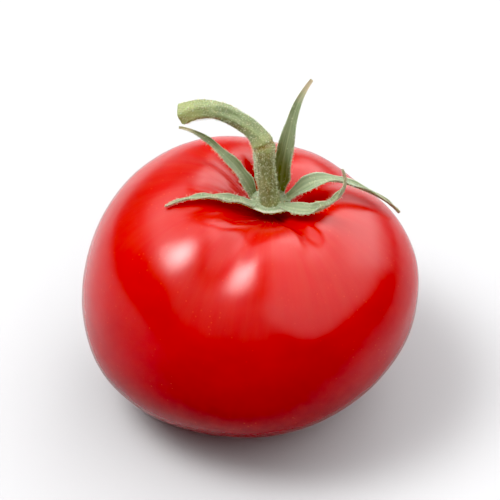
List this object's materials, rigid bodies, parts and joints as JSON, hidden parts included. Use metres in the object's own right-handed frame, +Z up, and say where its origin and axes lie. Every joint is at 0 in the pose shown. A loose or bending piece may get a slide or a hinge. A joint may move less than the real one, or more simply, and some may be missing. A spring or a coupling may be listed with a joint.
{
  "type": "tomato",
  "caption": "Ripe round vine tomato standing on its blossom end, with its green star of sepals and its kneed, bent stalk as picked.",
  "frame": {"origin": "middle of the flat spot at the blossom end, on the surface that the tomato stands on", "axes": "+Z up through the stalk, -Y towards the gap between the front sepals, +X to the right as seen from the front"},
  "size_m": [0.0708, 0.0689, 0.0734],
  "materials": {
    "skin": "smooth waxy tomato skin, glossy red, a little more orange on the shoulders",
    "stalk": "matt green stem with fine short hairs",
    "sepal": "matt green leaf with a midrib, fine hairs and dry pale tips"
  },
  "bodies": {
    "root": {"fruit": "skin", "stalk": "stalk", "sepal_front_right": "sepal", "sepal_right": "sepal", "sepal_back_right": "sepal", "sepal_back": "sepal", "sepal_back_left": "sepal", "sepal_left": "sepal"}
  },
  "joints": []
}
